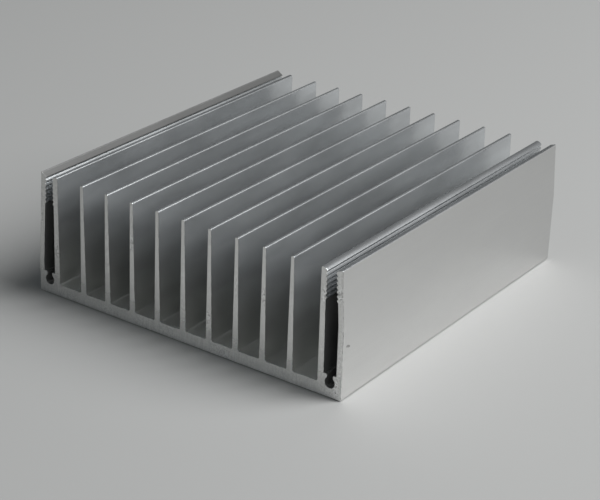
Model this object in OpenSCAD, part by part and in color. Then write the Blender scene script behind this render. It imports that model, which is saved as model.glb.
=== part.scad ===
// Extruded aluminium heat sink: a flat base plate with tapered fins, closed along each side
// by a double wall. The narrow gap inside a double wall is a screw slot. Ribs along its mouth
// grip self-tapping screws driven from above, and the round port at its foot takes a screw
// from either end. It is one extruded section, sawn to length.
//
// X runs across the section, Y along the extrusion and Z up from the underside.
// The section is drawn in X and Z, and the origin is at the middle of the underside.

/* [Overall size] */
// Width across the base plate
width = 100; // [80:1:160]
// Height from the underside to the tips of the fins
height = 35; // [30:0.5:60]
// Length of the sawn piece, along the extrusion
length = 107; // [20:1:300]

/* [Base plate] */
// Thickness of the base plate between the fins
base_t = 3.4; // [2.5:0.1:6]
// Rounding of the two long edges of the underside
corner_r = 0.4; // [0.1:0.1:1.5]

/* [Fins] */
// Number of fins between the double walls
fin_count = 9; // [3:1:12]
// Thickness of a fin at its root
fin_root_t = 1.85; // [1.2:0.05:2.5]
// Thickness of a fin at its tip
fin_tip_t = 1; // [0.9:0.05:1.2]
// Fillet where a fin or an inner wall meets the base plate
root_r = 0.5; // [0.2:0.05:1]
// Rounding of the two edges of a fin's tip
fin_tip_r = 0.4; // [0.1:0.05:0.4]

/* [Double walls] */
// Thickness of an outer wall
outer_t = 1.6; // [1.2:0.1:3]
// Thickness of an inner wall at the foot of the slot
inner_root_t = 1.8; // [1.2:0.1:3]
// Thickness of an inner wall at its top
inner_tip_t = 1.45; // [1.2:0.05:1.8]
// Rounding of an inner wall's top edge on the channel's side
inner_tip_r = 0.3; // [0.1:0.05:0.5]
// Width of the screw slot at its foot
slot_w = 3.8; // [3.4:0.1:6]
// Height at which the left outer wall starts to lean in over its slot
left_lean_from = 9; // [7:0.5:25]
// How far the left outer wall has leaned in at its top
left_lean = 1.5; // [0.1:0.1:1.6]
// Height at which the right outer wall starts to lean in over its slot
right_lean_from = 20; // [7:0.5:25]
// How far the right outer wall has leaned in at its top
right_lean = 0.9; // [0.1:0.1:1.6]
// How far the outer edge of an outer wall stands above the fins
outer_rise = 0.4; // [0:0.1:0.8]
// How far the top of the left outer wall falls towards its slot
left_fall = 0.9; // [0.1:0.1:0.9]
// How far the top of the right outer wall falls towards its slot
right_fall = 0.5; // [0.1:0.1:0.9]
// Rounding of an outer wall's top edge
outer_tip_r = 0.2; // [0.1:0.05:0.4]

/* [Ribs of the screw slot] */
// Number of ribs on each face of a slot
rib_count = 7; // [2:1:12]
// Distance from one rib to the next
rib_pitch = 1.2; // [0.9:0.05:1.6]
// How far a rib stands proud of the slot's face
rib_h = 0.35; // [0.1:0.05:0.5]
// Width of the flat on a rib's crest
rib_crest = 0.2; // [0.1:0.05:0.5]
// Depth from the tips of the fins to the crest of the first rib
rib_drop = 0.8; // [0.8:0.1:3]
// Width of the slope that leads from an inner wall's top into the slot
lead_w = 0.6; // [0.1:0.05:0.7]
// Depth of that slope
lead_h = 0.3; // [0.1:0.05:0.4]

/* [Screw ports] */
// Diameter of the round port
port_d = 3; // [2.5:0.1:3.6]
// Metal left under the port
port_floor = 2.6; // [1.5:0.1:4]
// Width of the neck between the port and the slot
neck_w = 1.75; // [1:0.05:2.2]
// Height of the neck above the port
neck_h = 1; // [0.4:0.05:2]
// Rounding of the two lips at the top of the neck
lip_r = 0.3; // [0.1:0.05:0.35]

/* [Hidden] */
$fn = 64;
// Overlap that joins one piece of the section to the next
seam = 0.3;

// A double wall from its inner face to its outer face
double_wall_w = inner_root_t + slot_w + outer_t;
// Inner face, slot faces and middle of the right double wall
wall_x = width / 2 - double_wall_w;
slot_in_x = wall_x + inner_root_t;
slot_out_x = width / 2 - outer_t;
slot_mid_x = (slot_in_x + slot_out_x) / 2;
// Middle of one fin to the middle of the next; an inner wall's face stands one pitch from the last fin
fin_pitch = 2 * wall_x / (fin_count + 1);

// The port's middle, and the floor of the slot above its neck
port_r = port_d / 2;
port_z = port_floor + port_r;
slot_floor = port_z + sqrt(port_r * port_r - neck_w * neck_w / 4) + neck_h;

// How far an outer wall has leaned in at height z
function lean_at(z, from, lean) = z <= from ? 0 : lean * (z - from) / (height - from);

// X of the inner wall's slot face at height z, which tapers from its foot to its top
function inner_face(z) = slot_in_x - (inner_root_t - inner_tip_t) * (z - slot_floor) / (height - slot_floor);

// X of the outer wall's slot face at height z, and of the outer edge of its top
function outer_face(z, from, lean) = slot_out_x - lean_at(z, from, lean);
function outer_edge(from, lean) = width / 2 - lean_at(height + outer_rise - outer_tip_r, from, lean);

// Height of rib i's crest, counted down from the mouth
function rib_z(i) = height - rib_drop - i * rib_pitch;

// The ribbed stretch of a slot face, from its lowest rib up.
// Each point is [how far it stands proud of the plain face, height].
function rib_line() = [for (i = [rib_count - 1 : -1 : 0]) each [
    [0, rib_z(i) - rib_pitch / 2],
    [rib_h, rib_z(i) - rib_crest / 2],
    [rib_h, rib_z(i) + rib_crest / 2]
]];

// The same points in the opposite order
function turned(points) = [for (i = [len(points) - 1 : -1 : 0]) points[i]];

// A disc that rounds a corner of the section
module corner(x, z, r) {
    translate([x, z]) circle(r = r);
}

// The two fillets beside a web of thickness t that stands on the base plate
module root_fillets(t) {
    difference() {
        translate([-t / 2 - root_r, base_t - seam]) square([t + 2 * root_r, root_r + seam]);
        for (side = [-1, 1])
            corner(side * (t / 2 + root_r), base_t + root_r, root_r);
    }
}

// One fin about x = 0: a blade that tapers from its fillets to a rounded tip
module fin() {
    root_fillets(fin_root_t);
    polygon([
        [-fin_root_t / 2, base_t - seam],
        [fin_root_t / 2, base_t - seam],
        [fin_root_t / 2, base_t + root_r],
        [fin_tip_t / 2, height - fin_tip_r],
        [fin_tip_t / 2 - fin_tip_r, height],
        [fin_tip_r - fin_tip_t / 2, height],
        [-fin_tip_t / 2, height - fin_tip_r],
        [-fin_root_t / 2, base_t + root_r]
    ]);
    for (side = [-1, 1])
        corner(side * (fin_tip_t / 2 - fin_tip_r), height - fin_tip_r, fin_tip_r);
}

// The flat plate, with the two long edges of its underside rounded
module base_plate() {
    polygon([
        [corner_r - width / 2, 0],
        [width / 2 - corner_r, 0],
        [width / 2, corner_r],
        [width / 2, base_t],
        [-width / 2, base_t],
        [-width / 2, corner_r]
    ]);
    for (side = [-1, 1])
        corner(side * (width / 2 - corner_r), corner_r, corner_r);
}

// Inner wall of the right double wall, with its fillet on the channel's side and a slope
// that leads from its top into the slot
module inner_wall() {
    intersection() {
        translate([wall_x + inner_tip_t / 2, 0]) root_fillets(inner_tip_t);
        translate([wall_x - root_r, 0]) square([root_r + inner_tip_t, height]);
    }
    polygon(concat(
        [
            [wall_x + inner_tip_r, height],
            [wall_x, height - inner_tip_r],
            [wall_x, base_t - seam],
            [slot_in_x, base_t - seam],
            [slot_in_x, slot_floor]
        ],
        [for (p = rib_line()) [inner_face(p[1]) + p[0], p[1]]],
        [
            [inner_face(height - lead_h), height - lead_h],
            [inner_face(height) - lead_w, height]
        ]
    ));
    corner(wall_x + inner_tip_r, height - inner_tip_r, inner_tip_r);
}

// Outer wall of the right double wall, upright up to a height and leaning in above it.
// Its outer edge is its highest, and its top falls from there towards the slot.
module outer_wall(from, lean, fall) {
    top = height + outer_rise;
    edge = outer_edge(from, lean);
    polygon(concat(
        [
            [slot_out_x, from],
            [slot_out_x, corner_r],
            [width / 2, corner_r],
            [width / 2, from],
            [edge, top - outer_tip_r],
            [edge - outer_tip_r, top],
            [outer_face(top - fall, from, lean), top - fall]
        ],
        [for (p = turned(rib_line())) [outer_face(p[1], from, lean) - p[0], p[1]]]
    ));
    corner(edge - outer_tip_r, top - outer_tip_r, outer_tip_r);
}

// The keyhole at the foot of the right slot: the round port, its neck and the rounded lips
module screw_port() {
    corner(slot_mid_x, port_z, port_r);
    translate([slot_mid_x - neck_w / 2, port_z]) square([neck_w, slot_floor - port_z + seam]);
    for (side = [0, 1])
        translate([slot_mid_x, slot_floor]) mirror([side, 0]) translate([neck_w / 2, -lip_r])
            difference() {
                translate([-seam, 0]) square([lip_r + seam, lip_r + seam]);
                corner(lip_r, 0, lip_r);
            }
}

// The right double wall on its foot; the left one is its mirror image with its own lean and fall
module double_wall(from, lean, fall) {
    translate([wall_x, corner_r]) square([double_wall_w, slot_floor - corner_r]);
    inner_wall();
    outer_wall(from, lean, fall);
}

// The whole section
module section() {
    difference() {
        union() {
            base_plate();
            for (i = [1 : fin_count])
                translate([i * fin_pitch - wall_x, 0]) fin();
            double_wall(right_lean_from, right_lean, right_fall);
            mirror([1, 0]) double_wall(left_lean_from, left_lean, left_fall);
        }
        screw_port();
        mirror([1, 0]) screw_port();
    }
}

// The section pushed out along Y and sawn square at both ends
module heat_sink() {
    color([0.7, 0.71, 0.73])
        translate([0, length / 2, 0]) rotate([90, 0, 0]) linear_extrude(length) section();
}

heat_sink();
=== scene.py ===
import math

import bmesh
import bpy
from mathutils import Matrix, Vector, noise


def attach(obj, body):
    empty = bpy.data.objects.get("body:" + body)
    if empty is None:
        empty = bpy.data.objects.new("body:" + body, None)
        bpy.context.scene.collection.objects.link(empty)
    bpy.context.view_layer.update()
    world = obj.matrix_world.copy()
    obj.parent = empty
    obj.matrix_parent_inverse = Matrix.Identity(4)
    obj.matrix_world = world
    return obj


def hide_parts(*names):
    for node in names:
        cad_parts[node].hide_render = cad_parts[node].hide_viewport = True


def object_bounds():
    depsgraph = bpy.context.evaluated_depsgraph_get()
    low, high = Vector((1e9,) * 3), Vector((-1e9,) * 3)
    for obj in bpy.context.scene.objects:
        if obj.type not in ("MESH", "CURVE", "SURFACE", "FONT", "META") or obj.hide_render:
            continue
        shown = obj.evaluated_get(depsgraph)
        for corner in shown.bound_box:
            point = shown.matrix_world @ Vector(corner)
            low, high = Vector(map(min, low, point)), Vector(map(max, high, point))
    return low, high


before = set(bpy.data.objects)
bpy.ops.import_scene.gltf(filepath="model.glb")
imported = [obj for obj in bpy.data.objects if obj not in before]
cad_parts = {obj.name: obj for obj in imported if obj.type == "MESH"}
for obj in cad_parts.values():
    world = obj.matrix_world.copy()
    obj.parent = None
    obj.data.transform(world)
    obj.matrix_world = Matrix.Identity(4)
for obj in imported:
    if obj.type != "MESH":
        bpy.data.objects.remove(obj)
cad_low, cad_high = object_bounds()
half_width = cad_high.x
half_length = cad_high.y


# ---------------------------------------------------- extruded aluminium
# The heat sink is one aluminium extrusion, left bare. The die draws fine
# lines along every face, and the metal has faint clouds where it cooled.
drawn_colour = (0.580, 0.602, 0.615)
# painted light: the paler, less blue colour of the metal low down
painted_low_colour = (0.692, 0.698, 0.676)
line_stretch = (2600, 5, 2600)
line_strength = 0.04
line_depth = 0.0002
cloud_stretch = (150, 45, 150)

# A change is four numbers: a value from the first to the second becomes one
# from the third to the fourth.
line_change = (0.3, 0.7, 0.985, 1.015)
cloud_change = (0.3, 0.7, -1, 1)
# painted light low down, and painted shade towards the far end
painted_low_fade = (0.006, 0.026, 0, 1)
drawn_painted_shade_back = (0.02, 0.045, 1, 0.87)


def new_material(name):
    material = bpy.data.materials.new(name)
    material.use_nodes = True
    nodes = material.node_tree.nodes
    return material, nodes, material.node_tree.links, nodes["Principled BSDF"]


def add(nodes, kind, at=(0, 0), **settings):
    made = nodes.new(kind)
    made.location = at
    for setting, value in settings.items():
        setattr(made, setting, value)
    return made


def stretched(nodes, links, vector, scale, at=(0, 0)):
    made = add(nodes, "ShaderNodeMapping", at)
    made.inputs["Scale"].default_value = scale
    links.new(vector, made.inputs["Vector"])
    return made.outputs["Vector"]


def noise_of(nodes, links, vector, scale, detail=2, at=(0, 0)):
    made = add(nodes, "ShaderNodeTexNoise", at)
    made.inputs["Scale"].default_value = scale
    made.inputs["Detail"].default_value = detail
    links.new(vector, made.inputs["Vector"])
    return made.outputs["Fac"]


def axes_of(nodes, links, vector, at=(0, 0)):
    made = add(nodes, "ShaderNodeSeparateXYZ", at)
    links.new(vector, made.inputs["Vector"])
    return made.outputs


def spread(nodes, links, value, change, at=(0, 0)):
    low, high, to_low, to_high = change
    made = add(nodes, "ShaderNodeMapRange", at)
    made.inputs["From Min"].default_value = low
    made.inputs["From Max"].default_value = high
    made.inputs["To Min"].default_value = to_low
    made.inputs["To Max"].default_value = to_high
    links.new(value, made.inputs["Value"])
    return made.outputs["Result"]


def combine(nodes, links, operation, first, second, at=(0, 0)):
    made = add(nodes, "ShaderNodeMath", at, operation=operation)
    links.new(first, made.inputs[0])
    links.new(second, made.inputs[1])
    return made.outputs["Value"]


# Drawn lines and cooling clouds, as a brightness about 1 and a height
drawn_metal = bpy.data.node_groups.new("drawn_metal", "ShaderNodeTree")
drawn_metal.interface.new_socket("Vector", in_out="INPUT", socket_type="NodeSocketVector")
drawn_metal.interface.new_socket("Clouds", in_out="INPUT", socket_type="NodeSocketFloat")
drawn_metal.interface.new_socket("Brightness", in_out="OUTPUT", socket_type="NodeSocketFloat")
drawn_metal.interface.new_socket("Lines", in_out="OUTPUT", socket_type="NodeSocketFloat")
nodes, links = drawn_metal.nodes, drawn_metal.links
entry = add(nodes, "NodeGroupInput", (-1200, 0))
along = stretched(nodes, links, entry.outputs["Vector"], line_stretch, (-1000, 100))
lines = noise_of(nodes, links, along, 1, 3, (-800, 100))
fine = spread(nodes, links, lines, line_change, (-600, 100))
streaky = stretched(nodes, links, entry.outputs["Vector"], cloud_stretch, (-1000, -200))
clouds = noise_of(nodes, links, streaky, 1, 3, (-800, -200))
clouds = spread(nodes, links, clouds, cloud_change, (-600, -200))
clouds = combine(nodes, links, "MULTIPLY", clouds, entry.outputs["Clouds"], (-400, -200))
leave = add(nodes, "NodeGroupOutput", (0, 0))
links.new(combine(nodes, links, "ADD", fine, clouds, (-200, 0)), leave.inputs["Brightness"])
links.new(lines, leave.inputs["Lines"])


def drawn_finish(name, clouds, metallic, roughness):
    material, nodes, links, shader = new_material(name)
    place = add(nodes, "ShaderNodeTexCoord", (-1400, 0)).outputs["Object"]
    finish = add(nodes, "ShaderNodeGroup", (-900, 0))
    finish.node_tree = drawn_metal
    links.new(place, finish.inputs["Vector"])
    finish.inputs["Clouds"].default_value = clouds
    ridge = add(nodes, "ShaderNodeBump", (-300, -200))
    ridge.inputs["Strength"].default_value = line_strength
    ridge.inputs["Distance"].default_value = line_depth
    links.new(finish.outputs["Lines"], ridge.inputs["Height"])
    links.new(ridge.outputs["Normal"], shader.inputs["Normal"])
    shader.inputs["Metallic"].default_value = metallic
    shader.inputs["Roughness"].default_value = roughness
    return material, nodes, links, shader, place, finish.outputs["Brightness"]


# Painted light makes the metal paler and less blue low down, and painted shade makes it darker at
# the far end
extruded, nodes, links, shader, place, brightness = drawn_finish(
    "extruded_aluminium", clouds=0.14, metallic=0.76, roughness=0.27)
axes = axes_of(nodes, links, place, (-900, 400))
height = spread(nodes, links, axes["Z"], painted_low_fade, (-700, 400))
to_back = spread(nodes, links, axes["Y"], drawn_painted_shade_back, (-700, 500))
brightness = combine(nodes, links, "MULTIPLY", brightness, to_back, (-500, 450))
shaded = add(nodes, "ShaderNodeMix", (-500, 300), data_type="RGBA")
links.new(height, shaded.inputs[0])
shaded.inputs[6].default_value = (*painted_low_colour, 1)
shaded.inputs[7].default_value = (*drawn_colour, 1)
scaled = add(nodes, "ShaderNodeVectorMath", (-300, 200), operation="SCALE")
links.new(shaded.outputs[2], scaled.inputs[0])
links.new(brightness, scaled.inputs["Scale"])
links.new(scaled.outputs["Vector"], shader.inputs["Base Color"])

# ------------------------------------------------------ outer aluminium
# The same metal on the two outer faces, pressed flat by the die. Painted light
# and shade make them a little paler low down and in front, and the right one
# has a nick close behind its front edge.
outer_colour = (0.700, 0.699, 0.693)
nick_places = ((1000 * half_width, -51.6, 14.7), (1000 * half_width, -50.8, 14.35))
nick_reach = (2, 0.7, 0.35)
nick_change = (0, 1, 1, 0.45)
ragged_scale = 1800
ragged_change = (0.3, 0.7, -0.5, 0.5)
edge_change = (0.6, 1.0, 1, 0)
# painted shade towards the back and the top, painted light low down and in front
outer_painted_shade_back = (-0.05, 0.05, 1.03, 0.92)
outer_painted_shade_top = (0.01, 0.034, 1.04, 0.94)

# A small mark about one place: 1 at its ragged middle and 0 around it
small_mark = bpy.data.node_groups.new("small_mark", "ShaderNodeTree")
small_mark.interface.new_socket("Vector", in_out="INPUT", socket_type="NodeSocketVector")
small_mark.interface.new_socket("Place", in_out="INPUT", socket_type="NodeSocketVector")
small_mark.interface.new_socket("Reach", in_out="INPUT", socket_type="NodeSocketVector")
small_mark.interface.new_socket("Mark", in_out="OUTPUT", socket_type="NodeSocketFloat")
nodes, links = small_mark.nodes, small_mark.links
entry = add(nodes, "NodeGroupInput", (-1200, 0))
offset = add(nodes, "ShaderNodeVectorMath", (-1000, 0), operation="SUBTRACT")
links.new(entry.outputs["Vector"], offset.inputs[0])
links.new(entry.outputs["Place"], offset.inputs[1])
ratio = add(nodes, "ShaderNodeVectorMath", (-800, 0), operation="DIVIDE")
links.new(offset.outputs["Vector"], ratio.inputs[0])
links.new(entry.outputs["Reach"], ratio.inputs[1])
distance = add(nodes, "ShaderNodeVectorMath", (-600, 0), operation="LENGTH")
links.new(ratio.outputs["Vector"], distance.inputs[0])
ragged = noise_of(nodes, links, entry.outputs["Vector"], ragged_scale, 2, (-800, -300))
ragged = spread(nodes, links, ragged, ragged_change, (-600, -300))
edge = combine(nodes, links, "ADD", distance.outputs["Value"], ragged, (-400, 0))
leave = add(nodes, "NodeGroupOutput", (0, 0))
links.new(spread(nodes, links, edge, edge_change, (-200, 0)), leave.inputs["Mark"])


def mark(nodes, links, vector, place_mm, reach_mm, at=(0, 0)):
    made = add(nodes, "ShaderNodeGroup", at)
    made.node_tree = small_mark
    links.new(vector, made.inputs["Vector"])
    made.inputs["Place"].default_value = [v / 1000 for v in place_mm]
    made.inputs["Reach"].default_value = [v / 1000 for v in reach_mm]
    return made.outputs["Mark"]


def tint(nodes, links, shader, brightness, colour, at=(-300, 200)):
    made = add(nodes, "ShaderNodeVectorMath", at, operation="SCALE")
    made.inputs[0].default_value = colour
    links.new(brightness, made.inputs["Scale"])
    links.new(made.outputs["Vector"], shader.inputs["Base Color"])


outer, nodes, links, shader, place, brightness = drawn_finish(
    "outer_aluminium", clouds=0.015, metallic=1.0, roughness=0.12)
nicks = [mark(nodes, links, place, nick_place, nick_reach) for nick_place in nick_places]
nick = combine(nodes, links, "MAXIMUM", *nicks)
hollow = spread(nodes, links, nick, nick_change, (-700, -300))
axes = axes_of(nodes, links, place, (-900, 400))
# painted light and shade on the outer faces
to_back = spread(nodes, links, axes["Y"], outer_painted_shade_back, (-700, 500))
to_top = spread(nodes, links, axes["Z"], outer_painted_shade_top, (-700, 300))
shade = combine(nodes, links, "MULTIPLY", to_back, to_top, (-500, 400))
brightness = combine(nodes, links, "MULTIPLY", brightness, shade, (-500, 250))
brightness = combine(nodes, links, "MULTIPLY", brightness, hollow, (-500, 100))
tint(nodes, links, shader, brightness, outer_colour)

# ------------------------------------------------------- painted shade aluminium
# The same metal, duller, in a darker colour that is painted shade: down in the
# slots, on the edges that the saw broke, and on the sloping top of the left outer wall.
# painted shade: the darker colour of this copy of the metal
painted_shade_colour = (0.400, 0.405, 0.400)
painted_shade_top_fade = (0.033, 0.0341, 1, 0.55)

painted_shade_metal, nodes, links, shader, place, brightness = drawn_finish(
    "painted_shade_aluminium", clouds=0.05, metallic=0.8, roughness=0.4)
axes = axes_of(nodes, links, place, (-900, 400))
# painted shade, darker still at the top of the walls
to_top = spread(nodes, links, axes["Z"], painted_shade_top_fade, (-700, 400))
brightness = combine(nodes, links, "MULTIPLY", brightness, to_top, (-500, 300))
tint(nodes, links, shader, brightness, painted_shade_colour)

# ------------------------------------------------------- sawn aluminium
# The saw left both ends matt and pale, with fine bright and dark specks, and
# with rougher patches where its teeth dragged. Painted shade makes them
# darker on the left, and painted light makes them paler at the foot, where
# they are also rougher.
sawn_colour = (0.795, 0.795, 0.780)
drag_places = ((43.9, 27.5), (48.7, 29), (8.6, 9.8), (-17.1, 23.2),
               (25.9, 21.5), (-43.6, 13.5), (-49.2, 22), (48.5, 3))
drag_reach = (0.9, 1, 2.6)
drag_change = (0, 1, 0, 1.7)
grain_scale = 2200
speck_change = (0.36, 0.64, -0.3, 0.3)
patch_scale = 90
patch_change = (0.45, 0.7, 0.15, 0.6)
streak_stretch = (1600, 1, 60)
streak_change = (0.3, 0.7, 0.95, 1.05)
# painted shade on the left, and painted light at the foot
sawn_painted_shade_across = (-0.05, 0.008, 0.77, 1)
painted_foot_light = (0.0005, 0.0045, 1.2, 1)
foot_roughness = (0.002, 0.007, 0.55, 0.24)
teeth_strength = 0.35
teeth_depth = 0.0001

sawn, nodes, links, shader = new_material("sawn_aluminium")
place = add(nodes, "ShaderNodeTexCoord", (-1800, 0)).outputs["Object"]
grain = noise_of(nodes, links, place, grain_scale, 2, (-1500, 200))
speck = spread(nodes, links, grain, speck_change, (-1300, 200))
patches = noise_of(nodes, links, place, patch_scale, 2, (-1500, -100))
force = spread(nodes, links, patches, patch_change, (-1300, -100))
for x, z in drag_places:
    drag = mark(nodes, links, place, (x, -1000 * half_length, z), drag_reach)
    drag = spread(nodes, links, drag, drag_change)
    force = combine(nodes, links, "MAXIMUM", force, drag)
rough_tone = combine(nodes, links, "MULTIPLY", speck, force, (-900, 100))
streak = stretched(nodes, links, place, streak_stretch, (-1500, 500))
streak = noise_of(nodes, links, streak, 1, 2, (-1300, 500))
streak = spread(nodes, links, streak, streak_change, (-1100, 500))
sawn_tone = combine(nodes, links, "ADD", streak, rough_tone, (-700, 200))
axes = axes_of(nodes, links, place, (-1500, -400))
# painted shade on the left and painted light at the foot
painted_dark_left = spread(nodes, links, axes["X"], sawn_painted_shade_across, (-1100, -400))
painted_pale_foot = spread(nodes, links, axes["Z"], painted_foot_light, (-1100, -800))
rough_foot = spread(nodes, links, axes["Z"], foot_roughness, (-1100, -600))
sawn_tone = combine(nodes, links, "MULTIPLY", sawn_tone, painted_dark_left, (-500, 100))
sawn_tone = combine(nodes, links, "MULTIPLY", sawn_tone, painted_pale_foot, (-400, 100))
tint(nodes, links, shader, sawn_tone, sawn_colour)
teeth = add(nodes, "ShaderNodeBump", (-300, -200))
teeth.inputs["Strength"].default_value = teeth_strength
teeth.inputs["Distance"].default_value = teeth_depth
links.new(rough_tone, teeth.inputs["Height"])
links.new(teeth.outputs["Normal"], shader.inputs["Normal"])
links.new(rough_foot, shader.inputs["Roughness"])
shader.inputs["Metallic"].default_value = 1

# ------------------------------------------------------------ heat sink
# One piece from a long aluminium extrusion, cut off with a circular saw. The
# saw broke the edges of both ends a little, and left them ragged.
rim_step = 0.0007
rim_break = 0.00011
rim_wander = 0.00007
rim_seed = 1
wander_scale = 900
notch_scale = 700
merge_reach = 2e-6
flat_angle = 0.6
sharp_angle = 36
hair = 1e-6
facing = 0.9
broken = 0.25
leaning = 0.1
left_top_from = -0.0462
left_top_height = 0.0341
outer_from = 0.0487
slot_from = 0.0437
slot_to = 0.0486
slot_foot = 0.003
slot_ribs = 0.0265

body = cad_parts["heat_sink"]
mesh = body.data.copy()
mesh.name = "heat_sink_dressed"
mesh.materials.clear()
for material in (extruded, sawn, outer, painted_shade_metal):
    mesh.materials.append(material)
in_extruded, in_sawn, in_outer, in_painted_shade = range(4)
dressed = bpy.data.objects.new("heat_sink_dressed", mesh)
bpy.context.scene.collection.objects.link(dressed)
bm = bmesh.new()
bm.from_mesh(mesh)
bmesh.ops.remove_doubles(bm, verts=bm.verts, dist=merge_reach)
bmesh.ops.dissolve_limit(bm, angle_limit=math.radians(flat_angle), verts=bm.verts, edges=bm.edges)


def on_rim(edge):
    facing_out = [abs(f.normal.y) > facing for f in edge.link_faces]
    return any(facing_out) and not all(facing_out)


for rim in [e for e in bm.edges if on_rim(e) and e.calc_length() > 1.5 * rim_step]:
    bmesh.ops.subdivide_edges(bm, edges=[rim], cuts=int(rim.calc_length() / rim_step))
rims = [e for e in bm.edges if on_rim(e)]
bmesh.ops.bevel(bm, geom=rims, offset=rim_break, offset_type="OFFSET", segments=2, profile=0.5,
                affect="EDGES", material=-1, clamp_overlap=False)
# The seed gives the same ragged edges on every run
noise.seed_set(rim_seed)
for v in bm.verts:
    from_end = half_length - abs(v.co.y)
    if from_end < hair:
        shift = noise.noise_vector(v.co * wander_scale) * rim_wander
        v.co += Vector((shift.x, 0, shift.z))
    elif 0.9 * rim_break < from_end < rim_break + hair:
        notch = 2 * rim_break * abs(noise.noise(v.co * notch_scale))
        v.co.y -= math.copysign(notch, v.co.y)
bm.normal_update()


# The broken edges, the sloping left top and the right slot get the metal in painted shade
def finish_of(face):
    middle = face.calc_center_median()
    if abs(face.normal.y) > facing:
        return in_sawn
    if abs(face.normal.y) > broken:
        return in_painted_shade
    if face.normal.x > leaning and middle.x < left_top_from and middle.z > left_top_height:
        return in_painted_shade
    if abs(face.normal.x) > facing and abs(middle.x) > outer_from:
        return in_outer
    if slot_from < abs(middle.x) < slot_to and slot_foot < middle.z < slot_ribs and face.normal.x:
        return in_painted_shade
    return in_extruded


for f in bm.faces:
    f.smooth = True
    f.material_index = finish_of(f)
for e in bm.edges:
    e.smooth = len(e.link_faces) == 2 and e.calc_face_angle(0) < math.radians(sharp_angle)
bm.to_mesh(mesh)
bm.free()
weighted = dressed.modifiers.new("face_weighted", "WEIGHTED_NORMAL")
weighted.keep_sharp = True
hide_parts("heat_sink")
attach(dressed, "root")

# ---------------------------------------------------------------- floor
# A plain pale matt table top, flat and wide. The heat sink stands on the burrs
# of its sawn ends, a hair above it.
table_colour = (0.426, 0.430, 0.425)
table_roughness = 0.7
table_radius = 4
burr = 0.00015

bm = bmesh.new()
bmesh.ops.create_circle(bm, cap_ends=True, segments=96, radius=table_radius)
bmesh.ops.translate(bm, verts=bm.verts, vec=(0, 0, -burr))
floor_mesh = bpy.data.meshes.new("floor")
bm.to_mesh(floor_mesh)
bm.free()
floor = bpy.data.objects.new("floor", floor_mesh)
bpy.context.scene.collection.objects.link(floor)
pale, nodes, links, shader = new_material("pale_table")
shader.inputs["Base Color"].default_value = (*table_colour, 1)
shader.inputs["Roughness"].default_value = table_roughness
floor_mesh.materials.append(pale)

# ---------------------------------------------------------------- light
# A tall soft window high on the right and a little behind, and a dim room with
# two faint glows: bluish from the left, and white low on the right.
window_azimuth = 117.8
window_elevation = 49.9
window_width = 0.834
window_height = 1.63
window_energy = 27.13
window_distance = 1.433
dim_room = (0.004, 0.004, 0.004)
glows = ((306.9, 13, -0.2, (0.162, 0.179, 0.189)),
         (90, 8, 0.3, (0.535, 0.535, 0.53)))


def toward(azimuth, elevation):
    a, e = math.radians(azimuth), math.radians(elevation)
    return Vector((math.sin(a) * math.cos(e), -math.cos(a) * math.cos(e), math.sin(e)))


window_shape = bpy.data.lights.new("window", "AREA")
window_shape.shape = "ELLIPSE"
window_shape.size = window_width
window_shape.size_y = window_height
window_shape.energy = window_energy
window = bpy.data.objects.new("window", window_shape)
bpy.context.scene.collection.objects.link(window)
to_window = toward(window_azimuth, window_elevation)
window.location = to_window * window_distance
window.rotation_mode = "QUATERNION"
window.rotation_quaternion = to_window.to_track_quat("Z", "Y")

room = bpy.data.worlds.new("room")
bpy.context.scene.world = room
room.use_nodes = True
nodes, links = room.node_tree.nodes, room.node_tree.links
place = add(nodes, "ShaderNodeTexCoord", (-1400, 0)).outputs["Generated"]
glow = None
for azimuth, elevation, start, colour in glows:
    lit = add(nodes, "ShaderNodeVectorMath", (-1200, 0), operation="DOT_PRODUCT")
    lit.inputs[1].default_value = toward(azimuth, elevation)
    links.new(place, lit.inputs[0])
    soft = add(nodes, "ShaderNodeMapRange", (-1000, 0), interpolation_type="SMOOTHSTEP")
    soft.inputs["From Min"].default_value = start
    links.new(lit.outputs["Value"], soft.inputs["Value"])
    tinted = add(nodes, "ShaderNodeVectorMath", (-800, 0), operation="SCALE")
    tinted.inputs[0].default_value = colour
    links.new(soft.outputs["Result"], tinted.inputs["Scale"])
    total = add(nodes, "ShaderNodeVectorMath", (-600, 0), operation="ADD")
    total.inputs[0].default_value = dim_room
    if glow:
        links.new(glow, total.inputs[0])
    links.new(tinted.outputs["Vector"], total.inputs[1])
    glow = total.outputs["Vector"]
links.new(glow, nodes["Background"].inputs["Color"])
nodes["Background"].inputs["Strength"].default_value = 1

# --------------------------------------------------------------- camera
# The camera looks down on the right-hand front corner through a long lens,
# and is tipped a little to one side.
camera_place = (0.26129, -0.37821, 0.22067)
camera_azimuth = 34.714
camera_elevation = 24.904
camera_roll = math.radians(1.895)

camera = bpy.data.cameras.new("camera")
camera.sensor_width = 36
camera.lens = 107.99
camera.clip_start = 0.01
camera.clip_end = 20
viewer = bpy.data.objects.new("camera", camera)
bpy.context.scene.collection.objects.link(viewer)
back = toward(camera_azimuth, camera_elevation)
level = Vector((math.cos(math.radians(camera_azimuth)), math.sin(math.radians(camera_azimuth)), 0))
upright = back.cross(level)
right = level * math.cos(camera_roll) + upright * math.sin(camera_roll)
up = upright * math.cos(camera_roll) - level * math.sin(camera_roll)
turned = Matrix((right, up, back)).transposed().to_4x4()
viewer.matrix_world = Matrix.Translation(camera_place) @ turned
bpy.context.scene.camera = viewer
bpy.context.scene.view_settings.view_transform = "Standard"
